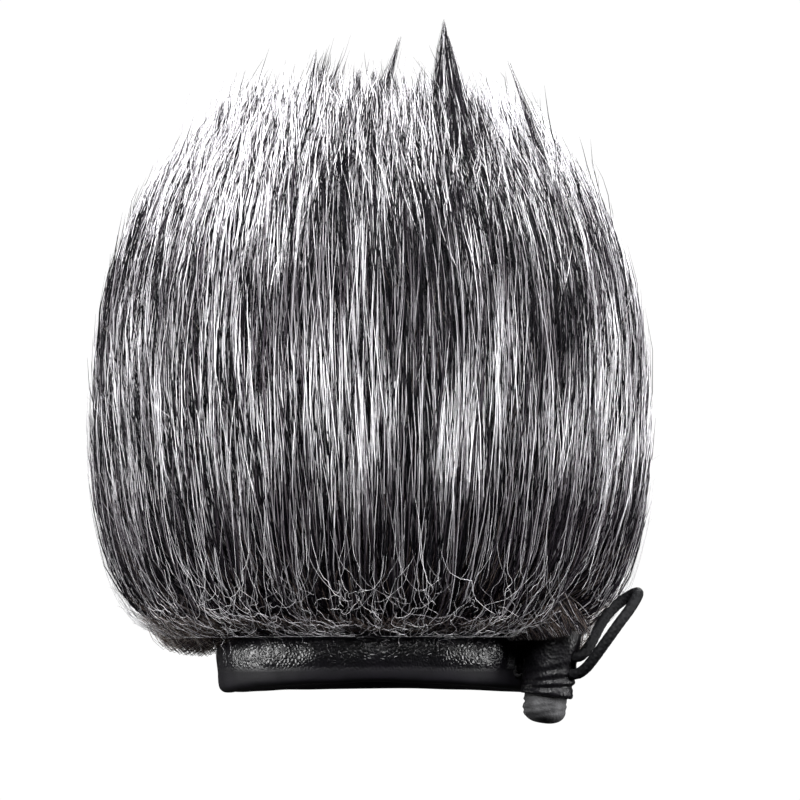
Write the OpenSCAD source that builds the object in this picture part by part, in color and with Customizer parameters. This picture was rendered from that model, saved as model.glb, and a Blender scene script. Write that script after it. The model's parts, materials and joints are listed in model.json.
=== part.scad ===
// Slip-over furry windscreen: a sewn bag of long-pile fur over a foam liner, with a folded
// leatherette collar, an elastic drawcord in the collar's tunnel and a sprung barrel cord lock.
// Millimetres. The origin is the middle of the mouth, in the plane of the collar's lower edge.
// +Z runs up to the crown, -Y is the front, and +X is the side that the cord lock is on.

/* [Collar] */
// Inside diameter of the mouth with the elastic at rest
mouth_d = 44.4; // [43:0.2:46]
// Thickness of the folded collar, both layers and the tunnel between them
collar_t = 3.4; // [3.4:0.1:4]
// Height of the collar
collar_h = 8; // [8:0.5:10]
// Thickness of the leatherette
leather_t = 0.6; // [0.5:0.05:0.6]

/* [Bag] */
// Width of the knitted bag at its widest, under the fur
bag_w = 58; // [57:0.5:62]
// Top of the bag above the collar's lower edge
bag_h = 80; // [76:1:84]
// Thickness of the knitted backing
backing_t = 1.2; // [1:0.1:1.3]
// Width of the seam allowance on each panel
allowance_w = 5; // [3:0.5:8]
// Inside diameter of the foam liner
liner_d = 44.8; // [44.4:0.2:45.6]

/* [Fur] */
// Width across the fur
fur_w = 88.4; // [84:0.4:92]
// Height of the fur above the collar's lower edge
fur_h = 94; // [90:1:98]
// How far the fur leans to the left of the collar
fur_lean = 1.6; // [0:0.2:2.4]
// Height of the tip of the tallest tuft
tuft_h = 104.4; // [100:0.2:106]

/* [Drawcord] */
// Diameter of the elastic cord
cord_d = 1.7; // [1.5:0.1:1.7]
// Distance between the two strands where they pass through the lock
strand_gap = 2.5; // [2.4:0.1:2.6]

/* [Cord lock] */
// Diameter of the lock's barrel
barrel_d = 8.2; // [8:0.1:8.4]
// Diameter of the plunger
plunger_d = 6.7; // [6.5:0.1:6.7]
// How far the plunger goes in
press_travel = 2.4; // [1.6:0.1:2.4]
// How far the lock pulls away from the collar as the elastic stretches
pull_travel = 6; // [4:0.5:6]
// Angle of the lock round the collar, from the right-hand side to the front
lock_angle = 30; // [26:1:34]
// Lean of the lock, its top to the right
lock_tilt = 8; // [4:1:8]

/* [Hidden] */

mouth_r = mouth_d / 2;
collar_r = mouth_r + collar_t;
fold_r = 1.1;                 // rounding of the collar's lower edge, outside
lip_r = 0.4;                  // rounding of its lower edge inside the mouth
edge_r = 0.5;                 // rounding of the collar's upper corners
tunnel_r = mouth_r + collar_t / 2;
tunnel_w = collar_t - 2 * leather_t;
tunnel_h = collar_h - 2 * leather_t;
tunnel_c = 0.3;               // rounding of the tunnel's other corners

// Outline of the bag: shares of its half width and of its height above the collar.
BAG_SHAPE = [[0.855, 0], [0.93, 0.12], [0.985, 0.28], [1, 0.46], [0.965, 0.64],
             [0.85, 0.8], [0.6, 0.93], [0.3, 0.985], [0, 1]];
// Outline of the fur, from the collar to the crown, in the same way.
FUR_SHAPE = [[0.72, 0], [0.82, 0.03], [0.88, 0.07], [0.93, 0.125], [0.97, 0.2], [0.99, 0.27],
             [1, 0.36], [1, 0.46], [0.985, 0.56], [0.93, 0.68], [0.86, 0.765], [0.75, 0.84],
             [0.64, 0.9], [0.54, 0.95], [0.4, 0.985], [0.2, 0.997], [0, 1]];
curve_steps = 3;              // straight runs between two points of an outline
tape_h = 5.6;                 // height of the binding tape above the collar
tape_t = 0.5;
tape_r = mouth_r + 1;         // outside of the binding tape
liner_gap = 0.3;              // looseness between the seam allowances and the liner
liner_z = collar_h + tape_h;  // lower edge of the liner
liner_wall_h = 56;            // where the liner's straight inside turns into its dome
liner_top_t = 3.8;            // foam over the crown
tuft_x = 9.9;
tuft_y = -6;
tuft_r = 5;
tuft_base = 84;
pocket_side = 2.2;            // room in the pile beside the lock
pocket_end = 2.4;             // and above it

thread_d = 0.45;
stitch_l = 2;                 // length of a stitch in the side seam
stitch_pitch = 3.2;
ring_stitches = 40;           // stitches in the collar seam
slot_w = cord_d + 0.6;        // width of the lock's hole
slot_h = strand_gap + cord_d + 0.5;
lock_gap = 0.8;               // space between the collar and the lock
lock_r = collar_r + lock_gap + barrel_d / 2;
lock_z = 4.1;                 // middle of the lock's hole
lock_pos = [lock_r * cos(lock_angle), -lock_r * sin(lock_angle), lock_z];
barrel_low = -5.1;            // the barrel's open end, below the middle of its hole
barrel_top = 8;
barrel_cap = 0.8;
bore_d = plunger_d + 0.4;
plunger_top = 3.3;
plunger_low = -9.4;
spigot_h = 0.8;               // the pin on the plunger's top that holds the spring
spigot_d = 2.6;
strand_end = 3.4;             // where the strands meet the loop, inside the lock's hole
spring_d = 5;
spring_wire = 0.4;
spring_turns = 3;
exit_z = lock_z + 0.6;        // middle of the opening that the strands come out of
exit_w = 5;
exit_h = strand_gap + cord_d + 0.6;
exit_rim = 0.25;              // width of the stitched rim round the opening
tack_d = 0.3;                 // thread of the bar tacks
tack_l = 3;
tack_angle = 8.6;             // from the opening's middle to a bar tack's
tack_pitch = 0.76;            // degrees from one stitch of a bar tack to the next
bend_r = 2.5;                 // turn of a strand from the tunnel out to the lock
ring_points = 15;             // rings along each half of the cord in the tunnel

// Route of the loop outside the lock: out of the lower hole, up to its tip and back.
LOOP = [[29.3, -17.1, 2.4], [30.5, -17.8, 2.4], [31.8, -18.5, 3.3], [33.1, -19.1, 4.9],
        [34.4, -19.5, 6.7], [35.7, -19.6, 8.5], [37, -19.3, 10.3], [38.3, -18.5, 12],
        [39.3, -17.3, 13.5], [39.9, -15.8, 14.6], [39.9, -14.1, 15], [39.2, -12.6, 14.8],
        [37.9, -11.8, 14], [36.5, -12, 12.9], [35.2, -12.9, 11.5], [34.1, -14.3, 9.9],
        [33.2, -15.7, 8.2], [32.2, -16.9, 6.4], [31, -17.5, 5.2], [29.7, -17.1, 4.9]];

// ---- curves ----
function spline_at(a, b, c, d, t) =
    0.5 * (2 * b + (c - a) * t + (2 * a - 5 * b + 4 * c - d) * t * t
           + (3 * b - a - 3 * c + d) * t * t * t);
function smooth_line(points, steps) =
    let (last = len(points) - 1)
    [for (i = [0:last - 1]) for (k = [0:steps - 1])
        spline_at(points[max(i - 1, 0)], points[i], points[i + 1],
                  points[min(i + 2, last)], k / steps),
     points[last]];
function backwards(points) = [for (i = [len(points) - 1:-1:0]) points[i]];
function unit(v) = v / norm(v);

// An outline scaled to a half width and to heights from low to high.
function outline(shape, half_w, low, high) =
    [for (p = smooth_line(shape, curve_steps))
        [max(p[0], 0) * half_w, low + p[1] * (high - low)]];
// The same outline moved inwards by depth; its ends stay on the collar's top and on the axis.
function inset(points, depth) =
    let (last = len(points) - 1)
    [for (i = [0:last])
        let (run = unit(points[min(i + 1, last)] - points[max(i - 1, 0)]))
        i == 0 ? points[0] - [depth, 0]
        : i == last ? points[last] - [0, depth]
        : [max(points[i][0] - depth * run[1], 0), points[i][1] + depth * run[0]]];
// The part of an outline above a height, starting on that height.
function above(points, low) =
    let (first = min([for (i = [0:len(points) - 1]) if (points[i][1] > low) i]),
         a = points[first - 1],
         b = points[first],
         t = (low - a[1]) / (b[1] - a[1]))
    concat([a + (b - a) * t], [for (i = [first:len(points) - 1]) points[i]]);

bag_line = outline(BAG_SHAPE, bag_w / 2, collar_h, bag_h);
fur_line = outline(FUR_SHAPE, fur_w / 2, collar_h, fur_h);
backing_in = inset(bag_line, backing_t);
allowance_in = inset(bag_line, 2 * backing_t);
liner_out = inset(bag_line, 2 * backing_t + liner_gap);

// ---- sweeps along a line of points ----
function tangents(path) =
    let (last = len(path) - 1)
    [for (i = [0:last]) unit(path[min(i + 1, last)] - path[max(i - 1, 0)])];
// Carries one sideways direction along the line, so that the section never twists.
function carried(ts, i, side, out) =
    let (s = unit(side - (side * ts[i]) * ts[i]))
    i == len(ts) - 1 ? concat(out, [s]) : carried(ts, i + 1, s, concat(out, [s]));

module tube(path, d, sides) {
    ts = tangents(path);
    ns = carried(ts, 0, abs(ts[0][2]) < 0.9 ? [0, 0, 1] : [1, 0, 0], []);
    rings = [for (i = [0:len(path) - 1]) for (k = [0:sides - 1])
        let (a = 360 * k / sides)
        path[i] + d / 2 * (cos(a) * ns[i] + sin(a) * cross(ts[i], ns[i]))];
    sidewalls = [for (i = [0:len(path) - 2]) for (k = [0:sides - 1])
        let (a = i * sides, b = a + sides, next = (k + 1) % sides)
        [a + k, b + k, b + next, a + next]];
    ends = [[for (k = [0:sides - 1]) k],
            [for (k = [sides - 1:-1:0]) (len(path) - 1) * sides + k]];
    polyhedron(rings, concat(sidewalls, ends));
}

// ---- places ----
module in_lock() {
    translate(lock_pos) rotate([0, lock_tilt, 0]) rotate([0, 0, -lock_angle]) children();
}
module at_exit() {
    rotate([0, 0, -lock_angle]) translate([0, 0, exit_z]) children();
}
module front_half() {
    rotate([0, 0, 180]) rotate_extrude(angle = 180, $fn = 96) children();
}
module back_half() {
    rotate_extrude(angle = 180, $fn = 96) children();
}
// A slot along X with round ends above and below.
module round_slot(length, width, low, high) {
    translate([-length / 2, -width / 2, low + width / 2])
        cube([length, width, high - low - width]);
    for (z = [low + width / 2, high - width / 2])
        translate([-length / 2, 0, z]) rotate([0, 90, 0])
            cylinder(h = length, d = width, $fn = 32);
}

// ---- fur ----
module fur_section() {
    polygon(concat(fur_line, [[0, collar_h]]));
}
module bag_filled() {
    translate([0, 0, -1]) cylinder(h = collar_h + 1, r = bag_line[0][0], $fn = 96);
    rotate_extrude($fn = 96) polygon(concat(bag_line, [[0, collar_h]]));
}
// Room in the pile for the lock, from the bag out to the end of its travel.
module lock_pocket() {
    reach = barrel_d / 2 + pocket_side;
    depth = barrel_top - barrel_low + 2 * pocket_end;
    in_lock() translate([0, 0, barrel_low - pocket_end]) {
        translate([pull_travel, 0, 0]) cylinder(h = depth, r = reach, $fn = 48);
        translate([-2 * reach, -reach, 0]) cube([2 * reach + pull_travel, 2 * reach, depth]);
    }
}
module fur_front() {
    color("dimgray") difference() {
        union() {
            translate([-fur_lean, 0, 0]) front_half() fur_section();
            translate([tuft_x, tuft_y, tuft_base])
                cylinder(h = tuft_h - tuft_base, r1 = tuft_r, r2 = 0.4, $fn = 48);
        }
        bag_filled();
        lock_pocket();
    }
}
module fur_back() {
    color("gray") difference() {
        translate([-fur_lean, 0, 0]) back_half() fur_section();
        bag_filled();
    }
}

// ---- the sewn bag ----
module backing_section() {
    polygon(concat(bag_line, backwards(backing_in)));
}
// The strip of each panel that is turned in along the side seams and over the crown.
module allowance_ring() {
    rotate_extrude($fn = 96)
        polygon(concat(above(backing_in, liner_z + 0.4),
                       backwards(above(allowance_in, liner_z + 0.4))));
}
module backing_front() {
    color("darkslategray") {
        front_half() backing_section();
        intersection() {
            allowance_ring();
            translate([-bag_w / 2, -allowance_w, 0]) cube([bag_w, allowance_w - 0.3, bag_h]);
        }
    }
}
module backing_back() {
    color("slategray") {
        back_half() backing_section();
        intersection() {
            allowance_ring();
            translate([-bag_w / 2, 0.3, 0]) cube([bag_w, allowance_w - 0.3, bag_h]);
        }
    }
}
// Stitches between the two allowances, up one side, over the crown and down the other.
stitch_line = above(inset(bag_line, backing_t + 0.5), liner_z + 1.5);
arch = concat([for (p = stitch_line) [p[0], 0, p[1]]],
              [for (p = backwards(stitch_line)) if (p[0] > 0) [-p[0], 0, p[1]]]);
function lengths(path, i = 0, so_far = 0, out = [0]) =
    i == len(path) - 1 ? out
    : let (l = so_far + norm(path[i + 1] - path[i]))
      lengths(path, i + 1, l, concat(out, [l]));
arch_lengths = lengths(arch);
function along(path, reach, s) =
    let (i = max([for (k = [0:len(path) - 2]) if (reach[k] <= s) k]),
         t = (s - reach[i]) / (reach[i + 1] - reach[i]))
    path[i] + (path[i + 1] - path[i]) * t;
module side_seam_thread() {
    count = floor(arch_lengths[len(arch) - 1] / stitch_pitch);
    color("black") for (i = [0:count - 1]) {
        a = along(arch, arch_lengths, i * stitch_pitch + 0.4);
        b = along(arch, arch_lengths, i * stitch_pitch + 0.4 + stitch_l);
        translate((a + b) / 2)
            rotate([0, atan2(b[0] - a[0], b[2] - a[2]), 0])
            cylinder(h = norm(b - a), d = thread_d, center = true, $fn = 16);
    }
}
module foam_liner() {
    low = above(liner_out, liner_z);
    r = liner_d / 2;
    top = bag_h - 2 * backing_t - liner_gap - liner_top_t;
    dome = [for (a = [0:10:90]) [r * cos(a), liner_wall_h + (top - liner_wall_h) * sin(a)]];
    color("dimgray") rotate_extrude($fn = 96)
        polygon(concat(low, [[0, top]], backwards(dome), [[r, liner_z]]));
}

// ---- collar ----
// A box section with round corners, in radius and height: c_in is its inner lower corner.
module round_box(r0, r1, z0, z1, c_in, c_out, top_c) {
    polygon(concat(
        [for (a = [180:15:270]) [r0 + c_in + c_in * cos(a), z0 + c_in + c_in * sin(a)]],
        [for (a = [270:15:360]) [r1 - c_out + c_out * cos(a), z0 + c_out + c_out * sin(a)]],
        [for (a = [0:30:90]) [r1 - top_c + top_c * cos(a), z1 - top_c + top_c * sin(a)]],
        [for (a = [90:30:180]) [r0 + top_c + top_c * cos(a), z1 - top_c + top_c * sin(a)]]));
}
module exit_shape(grow) {
    w = exit_w + 2 * grow;
    h = exit_h + 2 * grow;
    c = 0.8 + grow;
    for (y = [-w / 2 + c, w / 2 - c], z = [-h / 2 + c, h / 2 - c])
        translate([y, z]) circle(r = c, $fn = 24);
    square([w - 2 * c, h], center = true);
    square([w, h - 2 * c], center = true);
}
module exit_plug(grow, from_r, to_r) {
    at_exit() translate([from_r, 0, 0]) rotate([90, 0, 90])
        linear_extrude(to_r - from_r) exit_shape(grow);
}
module collar_band() {
    color("black") difference() {
        rotate_extrude($fn = 128)
            round_box(mouth_r, collar_r, 0, collar_h, lip_r, fold_r, edge_r);
        rotate_extrude($fn = 128)
            round_box(mouth_r + leather_t, collar_r - leather_t, leather_t,
                      collar_h - leather_t, tunnel_c, fold_r - leather_t, tunnel_c);
        exit_plug(exit_rim, tunnel_r, collar_r + 1);
    }
}
module exit_buttonhole() {
    color("black") difference() {
        exit_plug(exit_rim, collar_r - leather_t - 0.1, collar_r + 0.1);
        exit_plug(0, tunnel_r, collar_r + 1);
    }
}
// A dense row of upright stitches on the band at each side of the opening.
module exit_bar_tacks() {
    color("black") for (side = [-1, 1], i = [-2:2])
        rotate([0, 0, -lock_angle + side * tack_angle + i * tack_pitch])
            translate([collar_r + tack_d / 2 + 0.01, 0, exit_z - tack_l / 2])
            cylinder(h = tack_l, d = tack_d, $fn = 16);
}
module binding_tape() {
    color("black") difference() {
        translate([0, 0, collar_h]) cylinder(h = tape_h, r = tape_r, $fn = 128);
        translate([0, 0, collar_h - 1]) cylinder(h = tape_h + 2, r = tape_r - tape_t, $fn = 128);
    }
}
module collar_seam_thread() {
    step = 360 / ring_stitches;
    color("darkslategray") for (i = [0:ring_stitches - 1])
        rotate([0, 0, i * step]) translate([0, 0, collar_h + 2.4])
            rotate_extrude(angle = step * 0.62, $fn = 96)
            translate([tape_r - tape_t - 0.15, 0]) circle(d = 0.3, $fn = 16);
}

// ---- drawcord ----
// A point given in the lock's own axes, in the part's frame.
function from_lock(p) =
    let (x = p[0] * cos(lock_angle) + p[1] * sin(lock_angle),
         y = p[1] * cos(lock_angle) - p[0] * sin(lock_angle))
    lock_pos + [x * cos(lock_tilt) + p[2] * sin(lock_tilt), y,
                p[2] * cos(lock_tilt) - x * sin(lock_tilt)];
// A point from its distance out along the lock's angle, its offset sideways and its height.
function from_exit(out, aside, z) =
    [out * cos(lock_angle) + aside * sin(lock_angle),
     aside * cos(lock_angle) - out * sin(lock_angle), z];
// side is -1 for the lower strand, which runs round the front, and 1 for the upper one.
function strand(side) =
    let (inner = from_lock([collar_r + 1.2 - lock_r, 0, side * strand_gap / 2]),
         start_z = inner[2],
         bend = asin(bend_r / tunnel_r),
         far_z = tunnel_h / 2 + leather_t)
    concat(
        [for (x = [strand_end, 0.8, -1.8]) from_lock([x, 0, side * strand_gap / 2])],
        [for (a = [0:22.5:67.5]) from_exit(tunnel_r + bend_r * (1 - sin(a)),
                                           side * bend_r * (1 - cos(a)), start_z + a / 150)],
        [for (i = [0:ring_points])
            let (share = i / ring_points,
                 a = side * (bend + (180 - bend) * share) - lock_angle,
                 z = start_z + 0.6 + (far_z - start_z - 0.6) * sin(90 * share))
            [tunnel_r * cos(a), tunnel_r * sin(a), z]]);
module drawcord() {
    color("black") for (side = [-1, 1])
        tube(strand(side), cord_d, 8);
}
// Turns of thread round the two ends of the cord, opposite the opening.
module cord_whipping() {
    turn_d = (tunnel_w - cord_d) / 2;
    color("dimgray") for (i = [-3:3])
        rotate([0, 0, 180 - lock_angle + i * 0.9])
            translate([tunnel_r, 0, tunnel_h / 2 + leather_t]) rotate([90, 0, 0])
            rotate_extrude($fn = 32)
            translate([(cord_d + turn_d) / 2, 0]) circle(d = turn_d, $fn = 16);
}
module drawcord_loop() {
    color("black") tube(smooth_line(LOOP, 2), cord_d, 8);
}

// ---- cord lock, in its own axes: Z along the barrel, X through its hole ----
module lock_barrel() {
    color("black") in_lock() difference() {
        union() {
            translate([0, 0, barrel_low])
                cylinder(h = barrel_top - barrel_low, d = barrel_d, $fn = 64);
            translate([0, 0, barrel_low]) cylinder(h = 0.9, d = barrel_d + 0.5, $fn = 64);
        }
        translate([0, 0, barrel_low - 1])
            cylinder(h = barrel_top - barrel_cap - barrel_low + 1, d = bore_d, $fn = 64);
        round_slot(barrel_d + 2, slot_w, -slot_h / 2, slot_h / 2);
    }
}
module lock_plunger() {
    round_z = plunger_low + plunger_d / 2;
    color("gray") in_lock() difference() {
        union() {
            translate([0, 0, round_z])
                cylinder(h = plunger_top - round_z, d = plunger_d, $fn = 64);
            translate([0, 0, round_z]) sphere(d = plunger_d, $fn = 64);
            translate([0, 0, plunger_top]) cylinder(h = spigot_h, d = spigot_d, $fn = 32);
        }
        round_slot(plunger_d + 2, slot_w, -slot_h / 2 - press_travel, slot_h / 2);
    }
}
module lock_spring() {
    low = plunger_top + spring_wire / 2;
    high = barrel_top - barrel_cap - spring_wire / 2;
    r = (spring_d - spring_wire) / 2;
    color("silver") in_lock() tube(
        [for (a = [0:30:360 * spring_turns])
            [r * cos(a), r * sin(a), low + (high - low) * a / (360 * spring_turns)]],
        spring_wire, 8);
}

fur_front();
fur_back();
backing_front();
backing_back();
side_seam_thread();
foam_liner();
binding_tape();
collar_seam_thread();
collar_band();
exit_buttonhole();
exit_bar_tacks();
drawcord();
cord_whipping();
drawcord_loop();
lock_barrel();
lock_plunger();
lock_spring();
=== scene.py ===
"""Looks of the furry windscreen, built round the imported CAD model.

Lengths are in millimetres until a mesh is made; +Z runs up to the crown and -Y is the front.
"""

import json
import math

import bmesh
import bpy
import numpy as np
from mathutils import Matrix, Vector


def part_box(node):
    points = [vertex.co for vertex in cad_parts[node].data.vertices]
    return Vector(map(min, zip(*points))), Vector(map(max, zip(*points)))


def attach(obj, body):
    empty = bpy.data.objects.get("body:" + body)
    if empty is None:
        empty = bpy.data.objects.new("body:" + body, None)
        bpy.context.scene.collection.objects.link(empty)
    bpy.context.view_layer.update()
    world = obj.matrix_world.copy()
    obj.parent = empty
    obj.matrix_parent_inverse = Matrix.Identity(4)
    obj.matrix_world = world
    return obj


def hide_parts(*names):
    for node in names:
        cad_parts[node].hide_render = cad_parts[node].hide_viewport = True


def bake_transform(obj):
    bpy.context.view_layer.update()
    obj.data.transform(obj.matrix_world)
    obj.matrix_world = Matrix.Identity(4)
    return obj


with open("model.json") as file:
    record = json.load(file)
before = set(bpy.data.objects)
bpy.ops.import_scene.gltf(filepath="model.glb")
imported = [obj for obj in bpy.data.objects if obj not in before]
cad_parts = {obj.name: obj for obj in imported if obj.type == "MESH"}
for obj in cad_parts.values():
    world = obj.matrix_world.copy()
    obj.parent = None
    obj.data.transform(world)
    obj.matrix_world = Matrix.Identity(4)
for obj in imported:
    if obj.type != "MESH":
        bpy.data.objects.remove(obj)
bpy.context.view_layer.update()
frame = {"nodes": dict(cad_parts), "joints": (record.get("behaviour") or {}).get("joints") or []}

MM = 0.001
random = np.random.default_rng(20)


# ---- driving dimensions, from the frame ----
def corners(name):
    """The low and the high corner of a CAD node's box."""
    return np.array(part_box(name)) / MM


COLLAR_R, _, COLLAR_H = corners("collar_band")[1]
BAG_R, _, BAG_TOP = corners("backing_back")[1]
FUR_LOW, FUR_HIGH = corners("fur_back")
FUR_LEAN = -(FUR_LOW[0] + FUR_HIGH[0]) / 2      # the fur's axis lies this far to the left
FUR_R = (FUR_HIGH[0] - FUR_LOW[0]) / 2
FUR_TOP = FUR_HIGH[2]
TUFT_TOP = corners("fur_front")[1, 2]

# Outlines of the knitted bag and of the fur: shares of the half width and of the height above
# the collar.
BAG_SHAPE = [(0.855, 0), (0.93, 0.12), (0.985, 0.28), (1, 0.46), (0.965, 0.64),
             (0.85, 0.8), (0.6, 0.93), (0.3, 0.985), (0, 1)]
FUR_SHAPE = [(0.72, 0), (0.82, 0.03), (0.88, 0.07), (0.93, 0.125), (0.97, 0.2), (0.99, 0.27),
             (1, 0.36), (1, 0.46), (0.985, 0.56), (0.93, 0.68), (0.86, 0.765), (0.75, 0.84),
             (0.64, 0.9), (0.54, 0.95), (0.4, 0.985), (0.2, 0.997), (0, 1)]


# ---- curves and noise ----
def unit(vectors):
    """Vectors brought to length one."""
    return vectors / np.maximum(np.linalg.norm(vectors, axis=-1, keepdims=True), 1e-9)


def polar(r, a, z):
    """Points from radius, angle and height."""
    return np.stack(np.broadcast_arrays(r * np.cos(a), r * np.sin(a), z), -1)


def full_turn(count):
    """Evenly spaced angles all the way round."""
    return np.linspace(0, 2 * math.pi, count, endpoint=False)


def lengths_along(line):
    """How far along a line each of its points is."""
    return np.concatenate([[0], np.cumsum(np.linalg.norm(np.diff(line, axis=0), axis=1))])


def smooth_line(points, steps):
    """A Catmull-Rom curve through the points, as many steps between each two."""
    p = np.array(points, float)
    p = np.vstack([p[:1], p, p[-1:]])
    t = np.linspace(0, 1, steps, endpoint=False)[:, None]
    runs = [0.5 * (2 * b + (c - a) * t + (2 * a - 5 * b + 4 * c - d) * t**2
                   + (3 * b - a - 3 * c + d) * t**3)
            for a, b, c, d in zip(p, p[1:], p[2:], p[3:])]
    return np.vstack([*runs, p[-1:]])


def closed_loop(points, steps):
    """A Catmull-Rom curve through the points and back to the first."""
    wrapped = [points[-1], *points, points[0], points[1]]
    return smooth_line(wrapped, steps)[steps:-steps - 1]


def resample_line(path, pitch):
    """A line with points evenly spaced at about the pitch, and how far along each is."""
    path = np.asarray(path, float)
    s = lengths_along(path)
    at = np.linspace(0, s[-1], max(int(round(s[-1] / pitch)), 2) + 1)
    return np.column_stack([np.interp(at, s, path[:, k]) for k in range(3)]), at


def outline(shape, half_width, top):
    """Radius and height along an outline that starts on the collar and ends on the axis."""
    line = smooth_line(shape, 10)
    height = COLLAR_H + line[:, 1] * (top - COLLAR_H)
    return np.column_stack([np.maximum(line[:, 0], 0) * half_width, height])


BAG_LINE = outline(BAG_SHAPE, BAG_R, BAG_TOP)
FUR_LINE = np.vstack([BAG_LINE[:1] + (0.5, 0), outline(FUR_SHAPE, FUR_R, FUR_TOP)])
BAG_RUNS = np.linalg.norm(np.diff(BAG_LINE, axis=0), axis=1)
BAG_MIDDLES = (BAG_LINE[1:, 0] + BAG_LINE[:-1, 0]) / 2


def smoother(low, high, value):
    """0 below low, 1 above high and a smooth step between them."""
    t = np.clip((value - low) / (high - low), 0, 1)
    return t * t * (3 - 2 * t)


def soft_noise(points, size, seed):
    """A smooth wandering value, about -1 to 1, that depends only on the place."""
    phases = np.random.default_rng(seed)
    value = np.zeros(points.shape[:-1])
    for octave in range(3):
        waves = phases.normal(0, 1, (3, 4)) / size * 1.7**octave
        waves[2] *= 0.4
        value += np.sin(points @ waves + phases.uniform(0, 2 * math.pi, 4)).sum(-1) / 2**octave
    return value / 3


# ---- materials ----
SPECULAR = "Specular IOR Level"

# The tones that the fibres are dyed in, from dark to light, and the two of the soft underfur.
FIBRE_TONES = [(0.002, 0.002, 0.003), (0.006, 0.005, 0.007), (0.017, 0.014, 0.018),
               (0.042, 0.036, 0.044), (0.09, 0.08, 0.09), (0.165, 0.155, 0.168),
               (0.285, 0.275, 0.293), (0.445, 0.435, 0.457), (0.635, 0.625, 0.65),
               (0.855, 0.845, 0.87)]
LIGHTEST = len(FIBRE_TONES) - 1
UNDERFUR_TONES = [(0.085, 0.066, 0.056), (0.42, 0.38, 0.35)]
BROWN, TAUPE = LIGHTEST + 1, LIGHTEST + 2


def principled(name, colour, roughness, values):
    """A material with one Principled node, its constants set on the shader's own sockets."""
    material = bpy.data.materials.new(name)
    material.use_nodes = True
    sockets = material.node_tree.nodes["Principled BSDF"].inputs
    sockets["Base Color"].default_value = (*colour, 1)
    sockets["Roughness"].default_value = roughness
    for socket, value in values.items():
        sockets[socket].default_value = value
    material.diffuse_color = (*colour, 1)
    return material


def node(tree, kind, settings, links):
    """A node with settings (socket or property: value) and links (input: output socket)."""
    made = tree.nodes.new("ShaderNode" + kind)
    for key, value in settings.items():
        if isinstance(key, int) or key in made.inputs:
            made.inputs[key].default_value = value
        else:
            setattr(made, key, value)
    for key, source in links.items():
        tree.links.new(source, made.inputs[key])
    return made


def noise(tree, place, scale, detail):
    """The value of a noise texture."""
    return node(tree, "TexNoise", {"Scale": scale, "Detail": detail},
                {"Vector": place}).outputs["Fac"]


def spread(tree, value, low, high, settings=()):
    """A value from 0 to 1 brought between low and high."""
    return node(tree, "MapRange", {"To Min": low, "To Max": high, **dict(settings)},
                {"Value": value}).outputs["Result"]


def computed(tree, operation, *values):
    """The result of a Math node on sockets and numbers."""
    settings = {i: value for i, value in enumerate(values) if isinstance(value, float)}
    links = {i: value for i, value in enumerate(values) if not isinstance(value, float)}
    return node(tree, "Math", {"operation": operation, **settings}, links).outputs[0]


def mottle(tree, place, low, high, scale):
    """Base colour that wanders between two colours; gives the noise it follows."""
    fac = noise(tree, place, scale, 4)
    ramp = node(tree, "ValToRGB", {}, {"Fac": fac})
    for stop, position, colour in zip(ramp.color_ramp.elements, (0.32, 0.68), (low, high)):
        stop.position = position
        stop.color = (*colour, 1)
    to_shader(tree, "Base Color", ramp.outputs["Color"])
    return fac


def to_shader(tree, socket, source):
    """Links a value to the Principled node."""
    tree.links.new(source, tree.nodes["Principled BSDF"].inputs[socket])


def bump(tree, height, depth, strength):
    """A relief of a real depth in metres."""
    made = node(tree, "Bump", {"Strength": strength, "Distance": depth}, {"Height": height})
    to_shader(tree, "Normal", made.outputs["Normal"])


def object_place(material):
    """A material's node tree and the place on the object as a vector."""
    tree = material.node_tree
    return tree, tree.nodes.new("ShaderNodeTexCoord").outputs["Object"]


def surface(name, colour, roughness, values, mottled, grain, relief, rough, worn=False):
    """A material that is mottled and has a fine grain, which sets its relief and roughness.

    mottled is two colours and a scale; grain a noise's scale and detail, or the scale alone for
    cells; relief a depth in metres and its strength; rough the least and greatest roughness,
    which follow the mottling where the surface is worn.
    """
    material = principled(name, colour, roughness, values)
    tree, place = object_place(material)
    patches = mottle(tree, place, *mottled) if mottled else None
    if len(grain) == 2:
        height = noise(tree, place, *grain)
    else:
        height = node(tree, "TexVoronoi", {"Scale": grain[0]},
                      {"Vector": place}).outputs["Distance"]
    if relief:
        bump(tree, height, *relief)
    to_shader(tree, "Roughness", spread(tree, patches if worn else height, *rough))
    return material


def leatherette_material():
    """Black pebble-grained leatherette, smoother where it turns under at the lower edge."""
    material = principled("leatherette", (0.006, 0.006, 0.008), 0.4, {SPECULAR: 0.5})
    tree, place = object_place(material)
    mottle(tree, place, (0.003, 0.003, 0.004), (0.008, 0.007, 0.01), 260)
    warp = node(tree, "TexNoise", {"Scale": 900, "Detail": 1}, {"Vector": place})
    bent = node(tree, "Mix", {"data_type": "VECTOR", 0: 0.0003},
                {4: place, 5: warp.outputs["Color"]}).outputs[1]
    cells = node(tree, "TexVoronoi", {"feature": "DISTANCE_TO_EDGE", "Scale": 1650},
                 {"Vector": bent}).outputs["Distance"]
    pebble = spread(tree, cells, 0, 1, {"interpolation_type": "SMOOTHSTEP", "From Max": 0.4})
    height = computed(tree, "MULTIPLY_ADD", noise(tree, place, 5200, 3), 0.03, pebble)
    z = node(tree, "SeparateXYZ", {}, {"Vector": place}).outputs["Z"]
    grained = spread(tree, z, 0.08, 1, {"From Min": 0.0026, "From Max": 0.0038})
    bump(tree, computed(tree, "MULTIPLY", height, grained), 0.00008, 0.8)
    to_shader(tree, "Roughness", spread(tree, grained, 0.66, 0.3))
    to_shader(tree, SPECULAR, spread(tree, grained, 0.16, 0.55))
    return material


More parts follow.
